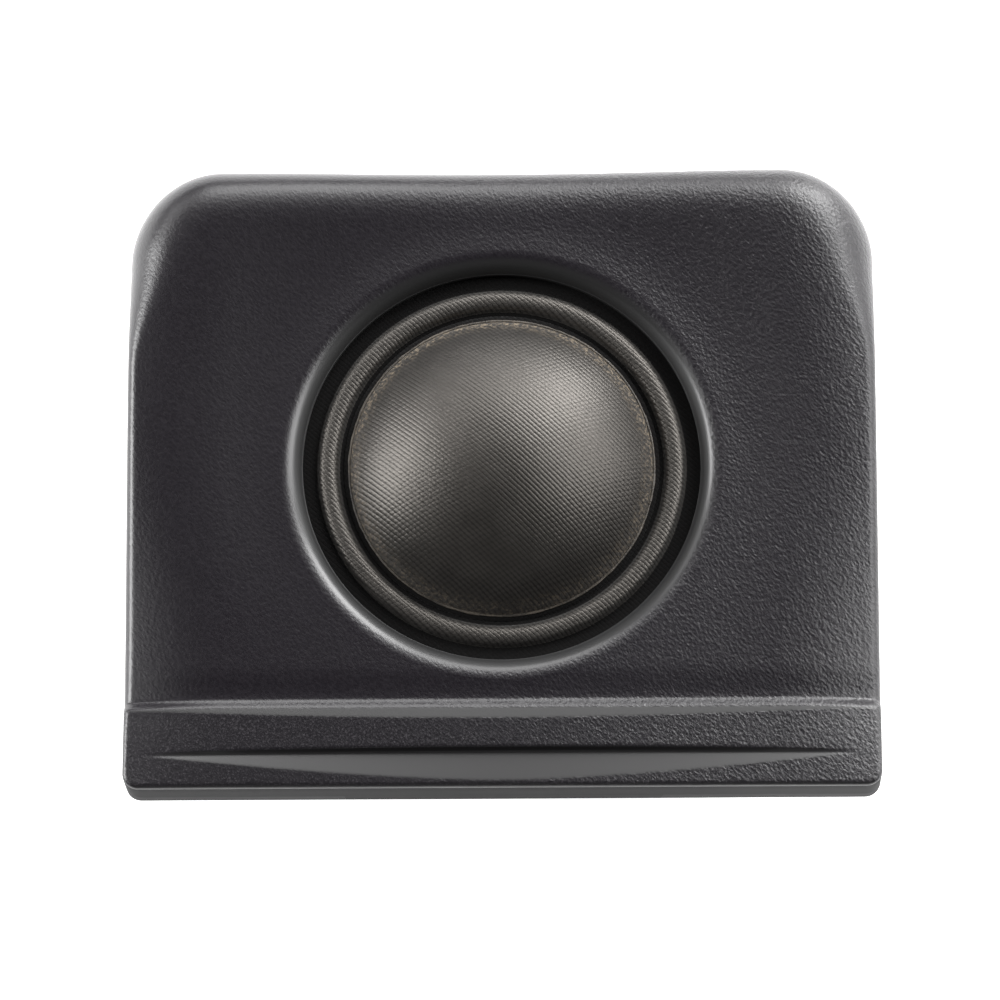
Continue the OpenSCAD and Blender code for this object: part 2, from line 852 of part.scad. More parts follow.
module connector_pin(side) {
  color("#c9b26b")
    translate([
      socket_x + side * pin_pitch / 2 - pin_w / 2, pin_inner_y, socket_z - pin_w / 2
    ])
      cube([pin_w, pin_outer_y - pin_inner_y, pin_w]);
}

module connector_pin_positive() {
  connector_pin(-1);
}

module connector_pin_negative() {
  connector_pin(1);
}

faceplate();
diaphragm_dome();
surround();
dome_glue_ring();
voice_coil_former();
voice_coil_winding();
front_frame();
foam_gasket();
pole_plate();
pole_damping_felt();
magnet();
yoke_cup();
rear_cover();
retaining_screws();
terminal_board();
terminal_tab_positive();
terminal_tab_negative();
terminal_rivets();
lead_wire_positive();
lead_wire_negative();
crossover_capacitor();
capacitor_leads();
hookup_wire_input();
hookup_wire_positive();
hookup_wire_negative();
connector_socket();
connector_pin_positive();
connector_pin_negative();
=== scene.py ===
import math

import bmesh
import bpy
import numpy as np
from mathutils import Matrix, Vector


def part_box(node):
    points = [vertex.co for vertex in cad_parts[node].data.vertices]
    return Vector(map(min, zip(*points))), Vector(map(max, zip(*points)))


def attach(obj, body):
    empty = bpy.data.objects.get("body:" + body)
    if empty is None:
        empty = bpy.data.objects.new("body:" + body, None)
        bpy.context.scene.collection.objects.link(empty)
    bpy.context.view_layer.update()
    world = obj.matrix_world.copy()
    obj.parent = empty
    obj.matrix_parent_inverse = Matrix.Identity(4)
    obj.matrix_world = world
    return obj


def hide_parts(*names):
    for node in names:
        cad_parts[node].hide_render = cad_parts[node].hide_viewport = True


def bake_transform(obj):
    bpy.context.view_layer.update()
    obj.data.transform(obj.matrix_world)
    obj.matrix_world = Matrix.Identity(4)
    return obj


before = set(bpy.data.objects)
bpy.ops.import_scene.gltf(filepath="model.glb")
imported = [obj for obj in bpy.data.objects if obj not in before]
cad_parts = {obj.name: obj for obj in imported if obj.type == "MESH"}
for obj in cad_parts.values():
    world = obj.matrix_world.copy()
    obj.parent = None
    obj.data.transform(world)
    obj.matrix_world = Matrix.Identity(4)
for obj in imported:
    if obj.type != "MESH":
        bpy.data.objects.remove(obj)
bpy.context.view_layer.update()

MM = 0.001

# ---- sizes in millimetres, read from the frame ----

plate_low, plate_high = (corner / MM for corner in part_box("faceplate"))
half_w = plate_high.x
plate_top = plate_high.y
plate_bottom = -plate_low.y
rim_z = plate_low.z
gasket_low, gasket_high = (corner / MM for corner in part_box("foam_gasket"))
lip_back_z = gasket_high.z
lip_land_z = lip_back_z + 0.4
lip_drop = 1.1
lip_z = lip_land_z + lip_drop
cloth_z = gasket_low.z
opening_r = 16.25
lip_r = 2.05
ceiling_z = lip_z - 2
skirt_t = 1.7
top_corner_r = 7.5
bottom_corner_r = 1.3
frame_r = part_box("front_frame")[1].y / MM
seat_r = frame_r + 0.4
cover_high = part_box("rear_cover")[1] / MM
dome_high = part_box("diaphragm_dome")[1] / MM
dome_r = 12.5
dome_edge_z = cloth_z + 0.1
dome_h = dome_high.z - dome_edge_z


# ---- shared helpers ----

def clamp01(t):
    return np.clip(t, 0.0, 1.0)


def ease(t):
    c = clamp01(t)
    return c * c * (3 - 2 * c)


def mix(a, b, t):
    return a + (b - a) * t


def spaced(start, end, count, tight_start=False, tight_end=False):
    """count steps from start to end, closer together at the ends that ask for it, without start itself."""
    t = np.linspace(0, 1, count + 1)[1:]
    if tight_start and tight_end:
        t = (1 - np.cos(np.pi * t)) / 2
    elif tight_start:
        t = 1 - np.cos(np.pi / 2 * t)
    elif tight_end:
        t = np.sin(np.pi / 2 * t)
    return start + (end - start) * t


def add_object(name, points, faces):
    """A smooth-shaded mesh object from points in millimetres."""
    mesh = bpy.data.meshes.new(name)
    metres = [tuple(p) for p in np.asarray(points, float) * MM]
    mesh.from_pydata(metres, [], [tuple(int(i) for i in f) for f in faces])
    mesh.validate()
    mesh.update()
    mesh.shade_smooth()
    piece = bpy.data.objects.new(name, mesh)
    bpy.context.scene.collection.objects.link(piece)
    return piece


def ring_faces(first, second, count):
    """Quads between two closed rings of count points that start at the two indices."""
    faces = []
    for k in range(count):
        m = (k + 1) % count
        faces.append((first + k, first + m, second + m, second + k))
    return faces


def lathe(profile, steps):
    """Points and faces of a closed (radius, z) profile turned about Z. A radius of zero becomes a pole."""
    points, faces, rings = [], [], []
    angles = 2 * np.pi * np.arange(steps) / steps
    for r, z in profile:
        at_pole = r < 1e-6
        rings.append((len(points), at_pole))
        if at_pole:
            points.append((0, 0, z))
        else:
            points += [(r * math.cos(a), r * math.sin(a), z) for a in angles]
    pairs = list(zip(rings, rings[1:] + rings[:1]))
    for (a, a_pole), (b, b_pole) in pairs:
        if a_pole and b_pole:
            continue
        for k in range(steps):
            m = (k + 1) % steps
            if a_pole:
                faces.append((a, b + k, b + m))
            elif b_pole:
                faces.append((a + k, b, a + m))
            else:
                faces.append((a + k, b + k, b + m, a + m))
    return points, faces


# ---- the face of the trim plate ----

# The dish round the opening, and where it fades out towards the ledge.
dish_rise, dish_start_r, dish_span = 1.4, 19, 14
dish_fade_y, dish_fade_span = -18, 24
# How far the face falls at its sides, and over what width.
side_drop, side_roll_w = 1.2, 8.5
# The shallow dip in front of the ledge.
ledge_dip, ledge_dip_y, ledge_dip_span = 0.2, -17, 2.5
# The broad rounding of the top edge, and the small rounding of the other edges.
shoulder_w, shoulder_h = 5.4, 3.8
side_round, low_round_w, low_round_h = 0.8, 0.5, 0.4
shoulder_fade_y, shoulder_fade_span = 8, 13
low_fade_y, low_fade_span = 18, 4
side_start, shoulder_start = 1.15, 1.5
# The ledge: its step up from the face, its front edge, and the scoop with its groove.
ledge_step, ledge_edge_h, ledge_fall = 0.38, 4.9, 0.7
groove_depth, scoop_half, groove_wall = 0.65, 28.9, 0.22
groove_line, groove_bow = 3.02, 0.35
scoop_w, scoop_w_min, scoop_power = 2.5, 0.12, 1.65
crest_line, crest_bow, crest_slope = 5.55, 0.85, 0.22
lip_h = lip_z - rim_z
foot_y = -plate_bottom + 7.35
fillet_top_y = -plate_bottom + 6.5
# The square patch of the face's grid that is replaced by rings round the opening.
patch_half, patch_cells, side_cells = 19.0, 132, 46
# Rows of the grid in each band of the ledge, from the front edge back to the face.
ledge_bands = [10, 10, 16, 5, 16, 10, 14]


def corner_inset(x, y, w, r, end):
    """How far a point lies inside a strip of half width w that ends at y = end with corners of radius r."""
    qx, qy = np.abs(x) - (w - r), y - (end - r)
    return r - np.hypot(np.maximum(qx, 0), np.maximum(qy, 0)) - np.minimum(np.maximum(qx, qy), 0)


def edge_inset(x, y):
    """How far a point lies inside the plate's outline."""
    top = corner_inset(x, y, half_w, top_corner_r, plate_top)
    bottom = corner_inset(x, -y, half_w, bottom_corner_r, plate_bottom)
    return np.maximum(0, np.minimum(top, bottom))


def half_width(y):
    """Half the plate's width at each y."""
    r = np.where(y > 0, top_corner_r, bottom_corner_r)
    e = np.where(y > 0, plate_top - y, plate_bottom + y)
    round_w = half_w - r + np.sqrt(np.maximum(0, r * r - (r - e) ** 2))
    return np.where(e >= r, half_w, round_w)


def crest_y(x):
    return -plate_bottom + crest_line + crest_bow * (x / half_w) ** 2


def groove_y(x):
    return -plate_bottom + groove_line - groove_bow * (x / scoop_half) ** 2


def scoop_end_y(x):
    t = np.minimum(1, np.abs(x) / scoop_half)
    return groove_y(x) - np.maximum(scoop_w_min, scoop_w * (1 - t ** scoop_power))


def side_fall(x):
    return side_drop * np.maximum(0, 1 - (half_w - np.abs(x)) / side_roll_w) ** 2


def fillet_top_h(x):
    return lip_h - ledge_dip + ledge_step - ledge_fall * side_fall(x)


def crest_h(x):
    return fillet_top_h(x) + crest_slope * (fillet_top_y - crest_y(x))


def ledge_h(x, y):
    return mix(crest_h(x), ledge_edge_h, (crest_y(x) - y) / (crest_y(x) + plate_bottom))


def scoop_h(x, y):
    end_y, g = scoop_end_y(x), groove_y(x)
    deep = ledge_h(x, g) - groove_depth * np.maximum(0, 1 - (x / scoop_half) ** 2)
    wall = mix(deep, ledge_h(x, y), clamp01((y - g) / groove_wall))
    return np.where(y > g, wall, mix(deep, ledge_h(x, end_y), (g - y) / (g - end_y)))


def main_face_h(x, y):
    r = np.hypot(x, y)
    rise = dish_rise * ease((r - dish_start_r) / dish_span) * ease((y - dish_fade_y) / dish_fade_span)
    return lip_h + rise - side_fall(x) - ledge_dip * ease((ledge_dip_y - y) / ledge_dip_span)


def sharp_face_h(x, y):
    """The face's height over the rim before its edges are rounded: face, fillet, crest, ledge and scoop."""
    t = clamp01((foot_y - y) / (foot_y - fillet_top_y))
    low = main_face_h(x, np.full_like(x, foot_y))
    hollow = crest_slope * (foot_y - fillet_top_y) * t * t * (t - 1)
    fillet = mix(low, fillet_top_h(x), ease(t)) + hollow
    lens = fillet_top_h(x) + crest_slope * (fillet_top_y - y)
    band = ledge_h(x, y)
    in_scoop = (y < groove_y(x) + groove_wall) & (y > scoop_end_y(x))
    h = np.where(in_scoop, scoop_h(x, y), band)
    h = np.where(y >= crest_y(x), lens, h)
    h = np.where(y >= fillet_top_y, fillet, h)
    return np.where(y >= foot_y, main_face_h(x, y), h)


def edge_drop(x, y):
    """How far the rounding at the plate's edge lowers the face."""
    top = ease((y - shoulder_fade_y) / shoulder_fade_span)
    low = ease((-y - low_fade_y) / low_fade_span)
    w = mix(mix(side_round, low_round_w, low), shoulder_w, top)
    h = mix(mix(side_round, low_round_h, low), shoulder_h, top)
    t = clamp01(1 - edge_inset(x, y) / w) ** mix(side_start, shoulder_start, top)
    return h * (1 - np.sqrt(1 - t * t))


def face_z(x, y):
    """The face's height, with its moulded lines softened by a mean over a short stretch of y."""
    soft = 0.15
    offsets = np.array([-1, -0.5, 0, 0.5, 1])
    weights = np.array([1, 3, 4, 3, 1]) / 12
    h = sum(w * sharp_face_h(x, y + soft * o) for w, o in zip(weights, offsets))
    return rim_z + np.maximum(0.1, h - edge_drop(x, y))


def row_lines():
    """Each row of the face's grid, as a function from x to y, and the number of the patch's first row."""

    def straight(y):
        return lambda x: np.full_like(x, y)

    def between(a, b, t):
        return lambda x: mix(a(x), b(x), t)

    def edge_line(x):
        return np.minimum(scoop_end_y(x) - 0.05, -plate_bottom + low_round_w)

    def wall_top(x):
        return groove_y(x) + groove_wall

    knots = [
        straight(-plate_bottom), edge_line, scoop_end_y, groove_y, wall_top, crest_y,
        straight(fillet_top_y), straight(foot_y),
    ]
    lines = [knots[0]]
    for a, b, n in zip(knots[:-1], knots[1:], ledge_bands):
        lines += [between(a, b, t) for t in spaced(0, 1, n, True, True)]
    first_patch = len(lines) + 2
    lines += [straight(y) for y in spaced(foot_y, -patch_half, 3)]
    lines += [straight(y) for y in spaced(-patch_half, patch_half, patch_cells)]
    lines += [straight(y) for y in spaced(patch_half, plate_top, 40, tight_end=True)]
    return lines, first_patch


def face_grid():
    """Points of the face as rows of columns, and the row where the round patch starts."""
    outer = half_w - patch_half
    left = -half_w + spaced(0, outer, side_cells, tight_start=True)
    middle = spaced(-patch_half, patch_half, patch_cells)
    us = np.concatenate([[-half_w], left, middle, -left[-2::-1], [half_w]]) / half_w
    lines, first_row = row_lines()
    grid = np.zeros((len(lines), len(us), 3))
    for j, line in enumerate(lines):
        y = line(us * half_w)
        x = us * half_width(y)
        y = line(x)
        grid[j] = np.column_stack([x, y, face_z(x, y)])
    return grid, first_row


def patch_loop(i0, j0, n):
    """Row and column of each point on the round patch's square border, anticlockwise."""
    return (
        [(j0, i0 + k) for k in range(n)] + [(j0 + k, i0 + n) for k in range(n)]
        + [(j0 + n, i0 + n - k) for k in range(n)] + [(j0 + n - k, i0) for k in range(n)]
    )


def opening_rings(border):
    """Rings from the patch's square border to the lip, over it and down the opening's wall."""
    start_tilt = math.acos(1 - lip_drop / lip_r)
    lip_outer = opening_r + lip_r * math.sin(start_tilt)
    angle = np.arctan2(border[:, 1], border[:, 0])
    way = np.stack([np.cos(angle), np.sin(angle)], 1)
    rings = []
    for t in spaced(0, 1, 18, tight_end=True):
        xy = mix(border[:, :2], way * lip_outer, t)
        rings.append(np.column_stack([xy, face_z(xy[:, 0], xy[:, 1])]))
    brim = rings[-1][:, 2] - lip_z
    for tilt in spaced(0, start_tilt, 18):
        r = lip_outer - lip_r * math.sin(tilt)
        z = lip_z - lip_r + lip_r * math.cos(tilt) + brim * (1 - tilt / start_tilt)
        rings.append(np.column_stack([way * r, z]))
    round_r = 0.12
    for tilt in spaced(0, math.pi / 2, 4):
        r = opening_r - round_r * 0.6 * math.sin(tilt)
        z = lip_land_z - round_r * (1 - math.cos(tilt))
        rings.append(np.column_stack([way * r, np.full(len(way), z)]))
    wall_r = opening_r - round_r * 0.6
    for z in spaced(lip_land_z - round_r, lip_back_z, 3):
        rings.append(np.column_stack([way * wall_r, np.full(len(way), z)]))
    return rings


def outline_at(angle, w, bottom, top, r_bottom, r_top):
    """Where rays from the axis meet a rectangle with round corners."""
    low, high = np.zeros_like(angle), np.full_like(angle, 2 * w)
    for _ in range(30):
        middle = (low + high) / 2
        x, y = middle * np.cos(angle), middle * np.sin(angle)
        upper_inset = corner_inset(x, y, w, r_top, top)
        lower_inset = corner_inset(x, -y, w, r_bottom, bottom)
        inside = np.minimum(upper_inset, lower_inset) > 0
        low, high = np.where(inside, middle, low), np.where(inside, high, middle)
    return np.column_stack([low * np.cos(angle), low * np.sin(angle)])


def join_rings(points, faces, previous, rings, flip=False):
    """Adds rings of points and the quads that join each to the one before. Returns the last ring."""
    for ring in rings:
        first, count = len(points), len(ring)
        points += list(ring)
        current = list(range(first, first + count))
        for k in range(count):
            m = (k + 1) % count
            if flip:
                faces.append((previous[m], previous[k], current[k], current[m]))
            else:
                faces.append((previous[k], previous[m], current[m], current[k]))
        previous = current
    return previous


def back_rings(edge):
    """Rings from the face's edge down the skirt, over the rim, up the cavity and in to the opening."""
    angle = np.arctan2(edge[:, 1], edge[:, 0])
    way = np.column_stack([np.cos(angle), np.sin(angle)])
    chamfer = 0.15
    cavity_top = plate_top - skirt_t - 0.7
    low_r, top_r = 2, 5.5
    cavity = outline_at(angle, half_w - skirt_t, plate_bottom - skirt_t, cavity_top, low_r, top_r)

    def level(xy, z):
        return np.column_stack([xy, np.full(len(xy), z)])

    skirt_foot = level(edge[:, :2], rim_z + chamfer)
    shrunk = edge[:, :2] - chamfer * way
    return [
        mix(edge, skirt_foot, 0.33), mix(edge, skirt_foot, 0.66), skirt_foot, level(shrunk, rim_z),
        level(mix(shrunk, cavity, 0.9), rim_z), level(cavity, rim_z + 0.1),
        level(cavity, ceiling_z - 0.3), level(cavity - 0.3 * way, ceiling_z),
        level(way * seat_r, ceiling_z), level(way * seat_r, lip_back_z),
        level(way * (opening_r + 0.5), lip_back_z),
    ]


# How many of the back rings form the skirt's outside, and where the grain starts past the lip.
skirt_rings = 4
grain_start_r, grain_fade = 17.0, 0.6


def trim_face():
    """The faceplate: its face, the opening's lip and wall, the skirt, the cavity and the bosses."""
    grid, j0 = face_grid()
    rows, columns = grid.shape[:2]
    i0, n = side_cells, patch_cells
    points = list(grid.reshape(-1, 3))
    faces = []
    for j in range(rows - 1):
        for i in range(columns - 1):
            if i0 <= i < i0 + n and j0 <= j < j0 + n:
                continue
            a = j * columns + i
            faces.append((a, a + 1, a + columns + 1, a + columns))
    loop = patch_loop(i0, j0, n)
    opening = opening_rings(np.array([grid[j, i] for j, i in loop]))
    mouth = join_rings(points, faces, [j * columns + i for j, i in loop], opening)
    border = (
        [(0, i) for i in range(columns)] + [(j, columns - 1) for j in range(1, rows)]
        + [(rows - 1, i) for i in range(columns - 2, -1, -1)] + [(j, 0) for j in range(rows - 2, 0, -1)]
    )
    skirt = slice(len(faces), len(faces) + skirt_rings * len(border))
    back = back_rings(np.array([grid[j, i] for j, i in border]))
    rear = join_rings(points, faces, [j * columns + i for j, i in border], back, flip=True)
    face_count, patch_count = rows * columns, len(loop) * len(opening)
    grain_mask = np.zeros(len(points))
    grain_mask[:face_count] = face_grain(np.array(points[:face_count]))
    patch = np.array(points[face_count:face_count + patch_count])
    r = np.hypot(patch[:, 0], patch[:, 1])
    grain_mask[face_count:face_count + patch_count] = ease((r - grain_start_r) / grain_fade)
    bosses, boss_faces = plate_bosses()
    shift = len(points)
    points += bosses
    faces += [tuple(i + shift for i in f) for f in boss_faces]
    piece = add_object("trim_faceplate", points, faces)
    bridge(piece, mouth, rear)
    attribute = piece.data.attributes.new("grain", "FLOAT", "POINT")
    values = np.zeros(len(piece.data.vertices), np.float32)
    values[:len(grain_mask)] = grain_mask
    attribute.data.foreach_set("value", values)
    for face in piece.data.polygons[skirt]:
        face.material_index = 1
    sharpen(piece, 42)
    return piece


def face_grain(p):
    """1 where the face is grained, 0 on its smooth scoops and its front edge."""
    x, y = p[:, 0], p[:, 1]
    in_lens = ease((y - crest_y(x) + 0.05) / 0.15) * ease((fillet_top_y - y + 0.05) / 0.15)
    in_scoop = ease((groove_y(x) + 0.3 - y) / 0.2) * ease((y - scoop_end_y(x) + 0.15) / 0.3)
    in_scoop = in_scoop * ease((scoop_half + 0.2 - np.abs(x)) / 4.0)
    front = ease((y + plate_bottom) / 0.4)
    return (1 - in_lens) * (1 - in_scoop) * mix(0.1, 1, front)


def plate_bosses():
    """The locating wall for the cover and the six screw bosses, each sunk a little into the face."""
    points, faces = [], []
    sunk_z = ceiling_z + 0.25

    def add(more_points, more_faces):
        shift = len(points)
        points.extend(more_points)
        faces.extend(tuple(i + shift for i in f) for f in more_faces)

    steps, wall_t, wall_corner_r = 256, 1.4, 10
    angle = np.linspace(0, 2 * np.pi, steps, endpoint=False)
    wall_w, wall_h = cover_high.x, 20.0
    outer = outline_at(angle, wall_w, wall_h, wall_h, wall_corner_r, wall_corner_r)
    inner_w, inner_h, inner_r = wall_w - wall_t, wall_h - wall_t, wall_corner_r - wall_t
    inner = outline_at(angle, inner_w, inner_h, inner_h, inner_r, inner_r)
    rings = [(outer, sunk_z), (outer, rim_z), (inner, rim_z), (inner, sunk_z)]
    wall_faces = []
    for k in range(len(rings)):
        wall_faces += ring_faces(k * steps, ((k + 1) % len(rings)) * steps, steps)
    add([tuple(p) + (z,) for xy, z in rings for p in xy], wall_faces)
    cover_boss = {"r": 2.4, "hole": 0.85, "depth": 2.6}
    vehicle_boss = {"r": 2.1, "hole": 1.0, "depth": 2.8}
    cover_boss_x, cover_boss_y, vehicle_boss_x = 22.2, 18.6, 26.8
    for sx in (-1, 1):
        for sy in (-1, 1):
            add(*screw_boss(sx * cover_boss_x, sy * cover_boss_y, sunk_z, **cover_boss))
    for sx in (-1, 1):
        add(*screw_boss(sx * vehicle_boss_x, 0, sunk_z, **vehicle_boss))
    return points, faces


def screw_boss(x, y, top_z, r, hole, depth):
    """Points and faces of a round boss from the rim up to top_z, with a blind hole."""
    fillet, chamfer, hole_chamfer = 0.25, 0.2, 0.15
    profile = [
        (0, top_z), (r + fillet, top_z), (r + fillet, ceiling_z - 0.02), (r, ceiling_z - fillet),
        (r, rim_z + chamfer), (r - chamfer, rim_z),
        (hole + hole_chamfer, rim_z), (hole, rim_z + hole_chamfer),
        (hole, rim_z + depth - 0.2), (0, rim_z + depth),
    ]
    points, faces = lathe(profile, 40)
    return [(px + x, py + y, pz) for px, py, pz in points], faces


def bridge(piece, ring_a, ring_b):
    """Closes the strip between two rings of vertices."""
    bm = bmesh.new()
    bm.from_mesh(piece.data)
    bm.verts.ensure_lookup_table()
    edges = []
    for ring in (ring_a, ring_b):
        for k, v in enumerate(ring):
            edges.append(bm.edges.get((bm.verts[v], bm.verts[ring[(k + 1) % len(ring)]])))
    bmesh.ops.bridge_loops(bm, edges=edges)
    bmesh.ops.recalc_face_normals(bm, faces=bm.faces)
    bm.to_mesh(piece.data)
    bm.free()
    piece.data.shade_smooth()


def sharpen(piece, degrees):
    """Marks edges past an angle as sharp, for smooth shading between them."""
    piece.data.set_sharp_from_angle(angle=math.radians(degrees))


# ---- camera, light and floor ----

aim = Vector((0, 0, 0.015))


def camera():
    """A long lens that looks down at the front, 15 degrees off the dome's axis."""
    distance = 0.52
    elevation, azimuth, roll = math.radians(75), math.radians(3.78), math.radians(-4.01)
    level = math.cos(elevation)
    to_camera = Vector((level * math.sin(azimuth), -level * math.cos(azimuth), math.sin(elevation)))
    right = (-to_camera).cross(Vector((0, 0, 1))).normalized()
    up = right.cross(-to_camera)
    place = aim + to_camera * distance
    turned_right = math.cos(roll) * right + math.sin(roll) * up
    turned_up = math.cos(roll) * up - math.sin(roll) * right
    data = bpy.data.cameras.new("camera")
    data.sensor_width = 36
    data.lens = 229.8
    data.shift_x = -0.0018
    data.shift_y = -0.0316
    data.dof.use_dof = False
    data.clip_start = 0.01
    data.clip_end = 20
    view = bpy.data.objects.new("camera", data)
    bpy.context.scene.collection.objects.link(view)
    basis = Matrix((turned_right, turned_up, to_camera)).transposed().to_4x4()
    view.matrix_world = Matrix.Translation(place) @ basis
    bpy.context.scene.camera = view


def area_light(name, direction, size, power):
    """A soft panel 0.9 m away in a direction, turned to face the part."""
    distance = 0.9
    data = bpy.data.lights.new(name, "AREA")
    data.shape = "RECTANGLE"
    data.size, data.size_y = size
    data.energy = power
    lamp = bpy.data.objects.new(name, data)
    bpy.context.scene.collection.objects.link(lamp)
    way = Vector(direction).normalized()
    lamp.location = aim + way * distance
    lamp.rotation_mode = "QUATERNION"
    lamp.rotation_quaternion = way.to_track_quat("Z", "Y")


def studio():
    area_light("left_softbox", (-0.925, 0.163, 0.36), (0.46, 0.46), 11.2)
    area_light("left_high_panel", (-0.615, 0.02, 0.788), (0.3, 0.25), 0.6)
    area_light("left_back_strip", (-0.64, 0.64, 0.42), (0.35, 0.4), 1.3)
    area_light("back_panel", (-0.03, 0.848, 0.53), (0.6, 0.46), 5.6)
    area_light("right_back_softbox", (0.52, 0.74, 0.43), (0.42, 0.56), 13.0)
    area_light("right_softbox", (0.727, 0.155, 0.669), (0.46, 0.42), 5.5)
    area_light("right_low_strip", (0.93, 0.2, 0.3), (0.4, 0.34), 2.6)
    area_light("back_high_panel", (0.05, 0.574, 0.819), (0.6, 0.26), 0.7)
    area_light("front_fill", (0.0, -0.906, 0.423), (0.9, 0.3), 0.3)
    world = bpy.data.worlds.new("studio")
    world.use_nodes = True
    background = world.node_tree.nodes["Background"]
    background.inputs["Color"].default_value = (0.95, 0.95, 1.0, 1)
    background.inputs["Strength"].default_value = 0.02
    bpy.context.scene.world = world
    bpy.context.scene.view_settings.view_transform = "Standard"
    bpy.context.scene.view_settings.look = "None"


def floor():
    half = 1500
    corners = [(-half, -half, 0), (half, -half, 0), (half, half, 0), (-half, half, 0)]
    piece = add_object("floor", corners, [(0, 1, 2, 3)])
    piece.location.z = -0.0002
    m = bpy.data.materials.new("pale_floor")
    m.use_nodes = True
    shader = m.node_tree.nodes["Principled BSDF"]
    shader.inputs["Base Color"].default_value = (0.9, 0.9, 0.9, 1)
    shader.inputs["Roughness"].default_value = 0.8
    shader.inputs["Emission Color"].default_value = (1, 1, 1, 1)
    shader.inputs["Emission Strength"].default_value = 0.92
    piece.data.materials.append(m)


# ---- materials ----

class Look:
    """A material and short ways to add its nodes."""

    def __init__(self, name, roughness, metallic=0.0, specular=0.5, sheen=0.0, coat=0.0):
        self.material = bpy.data.materials.new(name)
        self.material.use_nodes = True
        self.tree = self.material.node_tree
        self.shader = self.tree.nodes["Principled BSDF"]
        self.shader.inputs["Roughness"].default_value = roughness
        self.shader.inputs["Metallic"].default_value = metallic
        self.shader.inputs["Specular IOR Level"].default_value = specular
        self.shader.inputs["Sheen Weight"].default_value = sheen
        self.shader.inputs["Coat Weight"].default_value = coat
        self.coords = self.node("ShaderNodeTexCoord").outputs["Object"]

    def node(self, kind, **settings):
        made = self.tree.nodes.new(kind)
        for key, value in settings.items():
            setattr(made, key, value)
        return made

    def put(self, value, socket):
        if isinstance(value, bpy.types.NodeSocket):
            self.tree.links.new(value, socket)
        else:
            socket.default_value = value

    def place(self, scale=(1, 1, 1), turn=0.0):
        """Coordinates in millimetres, turned about Z and then scaled."""
        turned = self.node("ShaderNodeMapping")
        self.put(self.coords, turned.inputs["Vector"])
        turned.inputs["Rotation"].default_value = (0, 0, math.radians(turn))
        turned.inputs["Scale"].default_value = (1000, 1000, 1000)
        scaled = self.node("ShaderNodeMapping")
        self.put(turned.outputs["Vector"], scaled.inputs["Vector"])
        scaled.inputs["Scale"].default_value = scale
        return scaled.outputs["Vector"]

    def noise(self, vector, scale, detail=2.0, roughness=0.5, distortion=0.0):
        made = self.node("ShaderNodeTexNoise")
        self.put(vector, made.inputs["Vector"])
        made.inputs["Scale"].default_value = scale
        made.inputs["Detail"].default_value = detail
        made.inputs["Roughness"].default_value = roughness
        made.inputs["Distortion"].default_value = distortion
        return made.outputs["Fac"]

    def cells(self, vector, scale, smooth):
        made = self.node("ShaderNodeTexVoronoi", feature="SMOOTH_F1")
        self.put(vector, made.inputs["Vector"])
        made.inputs["Scale"].default_value = scale
        made.inputs["Smoothness"].default_value = smooth
        return made.outputs["Distance"]

    def math(self, operation, a, b=0.0):
        made = self.node("ShaderNodeMath", operation=operation)
        self.put(a, made.inputs[0])
        self.put(b, made.inputs[1])
        return made.outputs[0]

    def times(self, *values):
        product = values[0]
        for value in values[1:]:
            product = self.math("MULTIPLY", product, value)
        return product

    def plus(self, a, b):
        return self.math("ADD", a, b)

    def radius(self, x, y):
        return self.math("SQRT", self.plus(self.times(x, x), self.times(y, y)))

    def span(self, value, low, high, to_low=0.0, to_high=1.0):
        """A smooth step from to_low to to_high as the value goes from low to high."""
        made = self.node("ShaderNodeMapRange", interpolation_type="SMOOTHSTEP")
        self.put(value, made.inputs["Value"])
        limits = {"From Min": low, "From Max": high, "To Min": to_low, "To Max": to_high}
        for name, number in limits.items():
            made.inputs[name].default_value = number
        return made.outputs["Result"]

    def split(self, vector):
        made = self.node("ShaderNodeSeparateXYZ")
        self.put(vector, made.inputs[0])
        return made.outputs

    def attribute(self, name):
        return self.node("ShaderNodeAttribute", attribute_name=name).outputs["Fac"]

    def color_mix(self, factor, a, b):
        made = self.node("ShaderNodeMix", data_type="RGBA")
        self.put(factor, made.inputs["Factor"])
        for socket, value in ((made.inputs[6], a), (made.inputs[7], b)):
            self.put(value if isinstance(value, bpy.types.NodeSocket) else (*value, 1), socket)
        return made.outputs[2]

    def color(self, value):
        self.put(value, self.shader.inputs["Base Color"])

    def rough(self, value):
        self.put(value, self.shader.inputs["Roughness"])

    def bump(self, height, depth_mm):
        made = self.node("ShaderNodeBump")
        self.put(height, made.inputs["Height"])
        made.inputs["Distance"].default_value = depth_mm * MM
        made.inputs["Strength"].default_value = 1.0
        self.put(made.outputs["Normal"], self.shader.inputs["Normal"])


def scaled(color, factor):
    return tuple(min(1, c * factor) for c in color)


